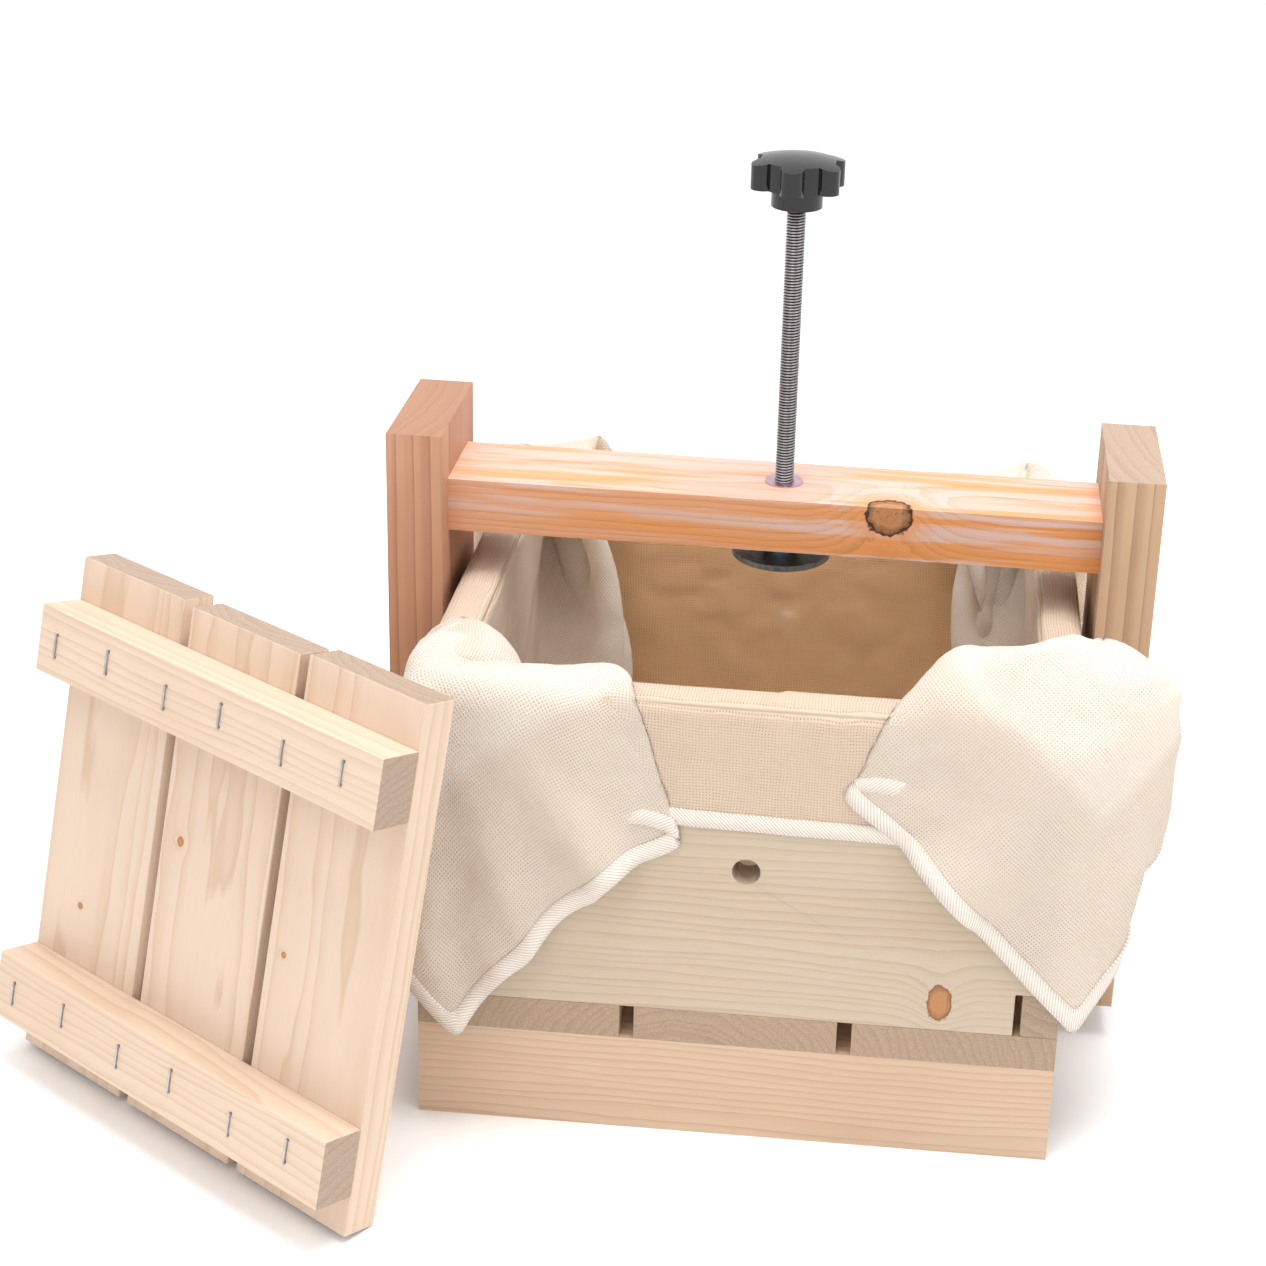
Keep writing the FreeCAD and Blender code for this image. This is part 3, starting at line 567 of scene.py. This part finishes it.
def relax_sheet(points, layer, fixed, held, tucked, steps):
    """Distance constraints on the sheet's grid, with gravity, against the wood. Returns the points."""
    rows, columns = points.shape[:2]
    gap = (2 * SHEET_HALF[0] / CELLS[0], 2 * SHEET_HALF[1] / CELLS[1])
    batches = []
    for shift, rest, stiff in (((0, 1), gap[0], 1.0), ((1, 0), gap[1], 1.0),
                               ((1, 1), math.hypot(*gap), 0.35), ((1, -1), math.hypot(*gap), 0.35),
                               ((0, 2), 2 * gap[0], 0.10), ((2, 0), 2 * gap[1], 0.10),
                               ((0, 4), 4 * gap[0], 0.05), ((4, 0), 4 * gap[1], 0.05)):
        i, j = np.mgrid[0:rows, 0:columns]
        keep = (i + shift[0] < rows) & (j + shift[1] < columns) & (j + shift[1] >= 0)
        i, j = i[keep], j[keep]
        first = i * columns + j
        second = (i + shift[0]) * columns + j + shift[1]
        step = max(abs(shift[0]), abs(shift[1]))
        order = (j // step if shift[0] == 0 else i // step) % 2
        for parity in (0, 1):
            batches.append((first[order == parity], second[order == parity], rest, stiff))
    flat = points.reshape(-1, 3)
    before = flat.copy()
    margin = layer.reshape(-1)
    thin = np.full(len(flat), 1.2)
    (inner_x, inner_y), (outer_x, outer_y) = BOX_INSIDE, BOX_OUTSIDE
    heights = (BOX_FOOT, RIM + 1)
    blocks = [((-BOARD_HALF, BOARD_HALF), (-outer_y, -inner_y), heights),
              ((-BOARD_HALF, BOARD_HALF), (inner_y, outer_y), heights),
              ((-outer_x, -inner_x), (-outer_y, outer_y), heights),
              ((inner_x, outer_x), (-outer_y, outer_y), heights),
              ((-BOARD_HALF, BOARD_HALF), (-outer_y, outer_y), (-20, BASE_TOP))]
    near, far = UPRIGHT_SPAN
    clear = [((-far, -near), UPRIGHT_DEPTH, UPRIGHT_HEIGHTS), ((near, far), UPRIGHT_DEPTH, UPRIGHT_HEIGHTS),
             ((-near, near), CROSSBAR_DEPTH, CROSSBAR_HEIGHTS)]
    into_lid = np.array(board_axes.inverted())
    from_lid = np.array(board_axes)
    index = [k for k, _ in held]
    targets = np.array([place for _, place in held], float)

    def push_out(block, space):
        """Points inside a block, grown by their own space, go back to the side they came from."""
        low = np.array([span[0] for span in block], float) - space[:, None]
        high = np.array([span[1] for span in block], float) + space[:, None]
        inside = ((flat > low) & (flat < high)).all(1)
        if not inside.any():
            return
        rows_in = np.nonzero(inside)[0]
        low, high = low[rows_in], high[rows_in]
        both = np.concatenate([flat[rows_in] - low, high - flat[rows_in]], 1)
        came = np.concatenate([clean[rows_in] <= low + 0.01, clean[rows_in] >= high - 0.01], 1)
        known = came.any(1)
        both = np.where(known[:, None] & ~came, 1e6, both)
        best = both.argmin(1)
        amount = both[np.arange(len(best)), best]
        flat[rows_in, best % 3] += np.where(best < 3, -amount, amount)
        touched[rows_in] = True

    home = flat[fixed].copy()
    clean = flat.copy()
    touched = np.zeros(len(flat), bool)
    for step in range(steps):
        move = np.clip(DRAG * (flat - before), -TOP_SPEED, TOP_SPEED)
        before[:] = flat
        flat += move
        flat[:, 2] -= GRAVITY
        touched[:] = False
        pull = PULL if step < steps * 0.9 else LAST_PULL
        for _ in range(4):
            flat[index] += pull * (targets - flat[index])
            for first, second, rest, stiff in batches:
                along = flat[second] - flat[first]
                length = np.sqrt((along ** 2).sum(1)) + 1e-9
                change = (stiff * 0.5 * (length - rest) / length)[:, None] * along
                flat[first] += change
                flat[second] -= change
            flat[fixed] = home
            for block in blocks:
                push_out(block, margin)
            for block in clear:
                push_out(block, thin)
            for axis, rows_tucked in zip((1, 0), tucked):
                limit = BOX_OUTSIDE[axis] + margin + 0.4
                loose = rows_tucked & (abs(flat[:, axis]) > limit) & (flat[:, 2] < RIM)
                flat[loose, axis] = np.sign(flat[loose, axis]) * limit[loose]
            clean[:] = flat
        before[touched] += GRIP * (flat[touched] - before[touched])
        local = (flat * MM) @ into_lid[:3, :3].T + into_lid[:3, 3]
        inside = ((local[:, 0] > LID_ACROSS[0]) & (local[:, 0] < LID_ACROSS[1]) & (local[:, 1] < LID_TOP)
                  & (local[:, 2] > LID_OUT[0]) & (local[:, 2] < LID_OUT[1]))
        if inside.any():
            local[inside, 2] = LID_OUT[0]
            flat[inside] = (local[inside] @ from_lid[:3, :3].T + from_lid[:3, 3]) / MM
        flat[:, 2] = np.maximum(flat[:, 2], 1.0)
        flat[:, 1] = np.minimum(flat[:, 1], BACK_LIMIT)
    return flat.reshape(rows, columns, 3)


def lift_off_wood(piece):
    """Smoothing cuts the corner at the rim, so points left in a board there come out by its nearest side."""
    places = np.empty(len(piece.data.vertices) * 3)
    piece.data.vertices.foreach_get("co", places)
    places = places.reshape(-1, 3) / MM
    for board in ("front", "back", "left", "right"):
        low, high = (np.array(corner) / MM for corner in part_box("box_board_" + board))
        low[2] = RIM - 5
        low, high = low - 1.3, high + 1.3
        inside = ((places > low) & (places < high)).all(1)
        both = np.concatenate([places - low, high - places], 1)
        both[:, 2] = 1e6
        best = both.argmin(1)
        amount = both[np.arange(len(best)), best]
        rows = np.nonzero(inside)[0]
        places[rows, best[rows] % 3] += np.where(best[rows] < 3, -amount[rows], amount[rows])
    piece.data.vertices.foreach_set("co", (places * MM).reshape(-1))
    piece.data.update()


def gauze_material():
    """Open plain weave laid along the sheet's own flat coordinates, with slubs and see-through gaps."""
    t = Tree("gauze")
    flat = t.node("Attribute", attribute_name="flat").outputs["Vector"]
    mm = t.vector("SCALE", flat, scale=1000.0)
    drift = t.vector("SUBTRACT", t.noise(mm, 0.05, 3.0)[1], (0.5, 0.5, 0.5))
    mm = t.vector("ADD", mm, t.vector("SCALE", drift, scale=3.0))
    pitch = 1.25
    s, u, _ = t.split(t.vector("SCALE", mm, scale=math.pi / pitch))
    warp = t.math("ABSOLUTE", t.math("SINE", s))
    weft = t.math("ABSOLUTE", t.math("SINE", u))
    slub_s = t.noise(t.vector("MULTIPLY", mm, (0.8, 0.02, 0)), 1.0, 2.0)[0]
    slub_u = t.noise(t.vector("MULTIPLY", mm, (0.02, 0.8, 0)), 1.0, 2.0)[0]
    warp = t.math("MULTIPLY", warp, t.between(slub_s, 0.2, 0.8, 0.75, 1.2))
    weft = t.math("MULTIPLY", weft, t.between(slub_u, 0.2, 0.8, 0.75, 1.2))
    thread = t.math("MAXIMUM", warp, weft)
    body = t.between(thread, 0.25, 0.62)
    patch = t.noise(mm, 0.035, 3.0)[0]
    hole = t.between(thread, 0.52, 0.30)
    hole = t.math("MULTIPLY", hole, t.between(patch, 0.42, 0.66, 0.25, 1.0))
    fuzz = t.noise(mm, 3.0, 3.0, 0.7)[0]
    tone = t.node("Attribute", attribute_name="tone").outputs["Vector"]
    wood_and_shade_tint, within, _ = t.split(tone)
    # painted light: the cloth inside the box gets a lighter copy of the outer colour, brightened where the
    # box walls keep light from it
    outer = t.mix(body, linear(210, 180, 150), linear(243, 232, 219))
    inner_brightened = t.mix(body, linear(236, 210, 182), linear(254, 249, 241))
    colour = t.mix(within, outer, inner_brightened)
    colour = t.mix(t.between(fuzz, 0.3, 0.7, 0.0, 0.3), colour, linear(243, 226, 208))
    # tan tint: partly the wood seen through, partly painted shade and warm bounce light
    colour = t.mix(wood_and_shade_tint, colour, t.mix(1.0, colour, linear(250, 214, 172), "MULTIPLY"))
    crumple = t.math("ABSOLUTE", t.math("SUBTRACT", t.noise(mm, 0.022, 2.0, 0.45)[0], 0.5))
    crumple = t.between(crumple, 0.0, 0.16)
    shader = t.node("BsdfPrincipled")
    for name, value in (("Base Color", colour), ("Roughness", 0.95), ("Specular IOR Level", 0.1),
                        ("Sheen Weight", 0.25), ("Sheen Roughness", 0.5)):
        t.feed(shader.inputs[name], value)
    relief = t.math("ADD", thread, t.math("MULTIPLY", fuzz, 0.4))
    relief = t.math("ADD", relief, t.math("MULTIPLY", crumple, 4.0))
    t.feed(shader.inputs["Normal"], t.bump(relief, 0.0005, 0.8))
    through = t.node("BsdfTranslucent")
    t.feed(through.inputs["Color"], t.mix(0.5, colour, linear(244, 226, 206)))
    blend = t.node("MixShader")
    blend.inputs[0].default_value = 0.35
    t.feed(blend.inputs[1], shader.outputs[0])
    t.feed(blend.inputs[2], through.outputs[0])
    clear = t.node("BsdfTransparent")
    final = t.node("MixShader")
    t.feed(final.inputs[0], t.math("MULTIPLY", hole, 0.6))
    t.feed(final.inputs[1], blend.outputs[0])
    t.feed(final.inputs[2], clear.outputs[0])
    t.feed(t.output.inputs[0], final.outputs[0])
    return t.material


def hem_material():
    """White overlock stitching across the hem, slightly fluffy."""
    t = Tree("overlock")
    flat = t.node("Attribute", attribute_name="flat").outputs["Vector"]
    mm = t.vector("SCALE", flat, scale=1000.0)
    s, u, _ = t.split(mm)
    along = t.math("ADD", s, u)
    wave = t.math("SINE", t.math("MULTIPLY", along, 2 * math.pi / 1.6))
    fuzz = t.noise(mm, 1.6, 4.0, 0.7)[0]
    ridge = t.math("ADD", t.math("MULTIPLY", wave, 0.5), fuzz)
    colour = t.mix(t.between(ridge, 0.0, 1.0), linear(212, 198, 184), linear(240, 232, 224))
    t.shade(Base_Color=colour, Roughness=0.9, Specular_IOR_Level=0.15, Normal=t.bump(ridge, 0.0004, 0.6))
    return t.material


def store(piece, name, values):
    """Three numbers a point, kept on the mesh for its material."""
    kept = piece.data.attributes.new(name, "FLOAT_VECTOR", "POINT")
    kept.data.foreach_set("vector", np.stack(values, -1).reshape(-1))


def cheesecloth():
    """The sheet and its hem, settled over the box."""
    rows, columns = CELLS[1] + 1, CELLS[0] + 1
    t_axis = np.linspace(-SHEET_HALF[1], SHEET_HALF[1], rows)
    s_axis = np.linspace(-SHEET_HALF[0], SHEET_HALF[0], columns)
    t, s = np.meshgrid(t_axis, s_axis, indexing="ij")
    points, layer = folded_sheet(s, t)
    held = []
    for (at_s, at_t), place in HELD:
        i = int(np.argmin(abs(t_axis - at_t)))
        j = int(np.argmin(abs(s_axis - at_s)))
        held.append((i * columns + j, place))
    wall_s, wall_t = abs(s) - FLOOR_HALF[0], abs(t) - FLOOR_HALF[1]
    fixed = (abs(s) < PINNED_FLOOR[0]) & (abs(t) < PINNED_FLOOR[1])
    fixed |= (abs(s) < PINNED_WALL[0]) & (wall_t > 0) & (wall_t < PINNED_REACH)
    fixed |= (abs(t) < PINNED_WALL[1]) & (wall_s > 0) & (wall_s < PINNED_REACH)
    steps = STEPS
    points = relax_sheet(points, layer, fixed.reshape(-1), held, tucked_layers(s, t), steps)

    faces = [(i * columns + j, i * columns + j + 1, (i + 1) * columns + j + 1, (i + 1) * columns + j)
             for i in range(rows - 1) for j in range(columns - 1)]
    sheet = mesh_piece("cheesecloth", points.reshape(-1, 3).tolist(), faces, gauze_material(), "box")
    # where a single layer lies on wood it is tinted tan: partly the wood seen through it, and, most on the
    # inside of the back board, painted shade and warm bounce light
    on_end = np.clip((FLOOR_HALF[0] - abs(s)) / 30, 0, 1) * np.clip(wall_t / 8, 0, 1)
    on_side = np.clip((FLOOR_HALF[1] - abs(t)) / 30, 0, 1) * np.clip(wall_s / 8, 0, 1)
    # marks the inside of the box, whose cloth is painted lighter
    inside = np.clip((RIM_REACH + 2 - np.maximum(wall_s, wall_t)) / 6, 0, 1)
    wood_and_shade_tint = np.maximum(0.3 * np.maximum(on_end, on_side), on_end * inside * (t > 0))
    store(sheet, "tone", (wood_and_shade_tint, inside, 0 * s))
    border = [f for f in faces if min(f) < columns or max(f) >= (rows - 1) * columns
              or min(f) % columns == 0 or (min(f) + 2) % columns == 0]
    hem = mesh_piece("cheesecloth_edge", points.reshape(-1, 3).tolist(), border, hem_material(), "box")
    for piece in (sheet, hem):
        store(piece, "flat", (s * MM, t * MM, 0 * s))
        bpy.context.view_layer.objects.active = piece
        round_off = piece.modifiers.new("round", "SUBSURF")
        round_off.levels = round_off.render_levels = 1
        bpy.ops.object.modifier_apply(modifier="round")
        lift_off_wood(piece)
    body = hem.modifiers.new("body", "SOLIDIFY")
    body.thickness = HEM_THICKNESS * MM
    body.offset = 0
    bpy.ops.object.modifier_apply(modifier="body")

    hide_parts("cheesecloth_liner", "cheesecloth_ear_front_left", "cheesecloth_ear_front_right",
                "cheesecloth_ear_back_left", "cheesecloth_ear_back_right")
    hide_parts("cheesecloth_hem")


cheesecloth()


# ---- soften the edges of the timber and the knob ----------------------------------------------
def round_edges(node, width, segments, angle):
    ease = node.modifiers.new("ease", "BEVEL")
    ease.width = width
    ease.segments = segments
    ease.limit_method = "ANGLE"
    ease.angle_limit = math.radians(angle)


# The uprights stay sharp: a bevel there cuts slits between their holes.
TIMBER = ("base_foot", "base_slat", "base_centre", "box_board", "lid_slat", "lid_batten")
for name, node in nodes.items():
    if name.startswith(TIMBER) or name == "crossbar":
        weld = node.modifiers.new("weld", "WELD")
        weld.merge_threshold = 0.00002
        round_edges(node, 0.0005, 2, 50)
round_edges(nodes["knob"], 0.0011, 3, 40)


# ---- floor, light and camera -------------------------------------------------------------------
def build_stage():
    mesh = bpy.data.meshes.new("floor")
    size, steps = 4.0, 2
    points = [(-size + 2 * size * i / steps, -size + 2 * size * j / steps, 0) for j in range(steps + 1)
              for i in range(steps + 1)]
    row = steps + 1
    faces = [(j * row + i, j * row + i + 1, (j + 1) * row + i + 1, (j + 1) * row + i)
             for j in range(steps) for i in range(steps)]
    mesh.from_pydata(points, [], faces)
    floor = bpy.data.objects.new("floor", mesh)
    bpy.context.scene.collection.objects.link(floor)
    t = Tree("floor_paper")
    place, _ = t.place()
    tone = t.noise(place, 0.02, 3.0)[0]
    t.shade(Base_Color=t.mix(tone, (0.93, 0.93, 0.93, 1), (0.95, 0.95, 0.95, 1)), Roughness=0.8)
    floor.data.materials.append(t.material)

    world = bpy.data.worlds.new("studio")
    world.use_nodes = True
    world.node_tree.nodes["Background"].inputs[0].default_value = (1, 1, 1, 1)
    world.node_tree.nodes["Background"].inputs[1].default_value = 1.0
    bpy.context.scene.world = world

    def lamp(name, place, target, size, power):
        light = bpy.data.lights.new(name, "AREA")
        light.shape = "DISK"
        light.size = size
        light.energy = power
        made = bpy.data.objects.new(name, light)
        made.location = place
        made.rotation_euler = (Vector(target) - Vector(place)).to_track_quat("-Z", "Y").to_euler()
        bpy.context.scene.collection.objects.link(made)

    lamp("key", (-0.5, -1.1, 1.9), (0, 0, 0.12), 0.9, 7)
    lamp("fill", (1.4, -0.8, 1.2), (0, 0, 0.12), 1.2, 3)
    lamp("top", (0.15, -0.15, 1.9), (0, 0, 0.1), 1.0, 24)

    camera = bpy.data.cameras.new("camera")
    camera.lens = CAMERA_LENS
    camera.sensor_width = 36.0
    camera.shift_x, camera.shift_y = CAMERA_SHIFT
    camera.clip_start = 0.01
    holder = bpy.data.objects.new("camera", camera)
    holder.location = CAMERA_PLACE
    holder.rotation_euler = Euler([math.radians(a) for a in CAMERA_TURN], "XYZ")
    bpy.context.scene.collection.objects.link(holder)
    bpy.context.scene.camera = holder


build_stage()
bpy.context.scene.view_settings.view_transform = "Standard"
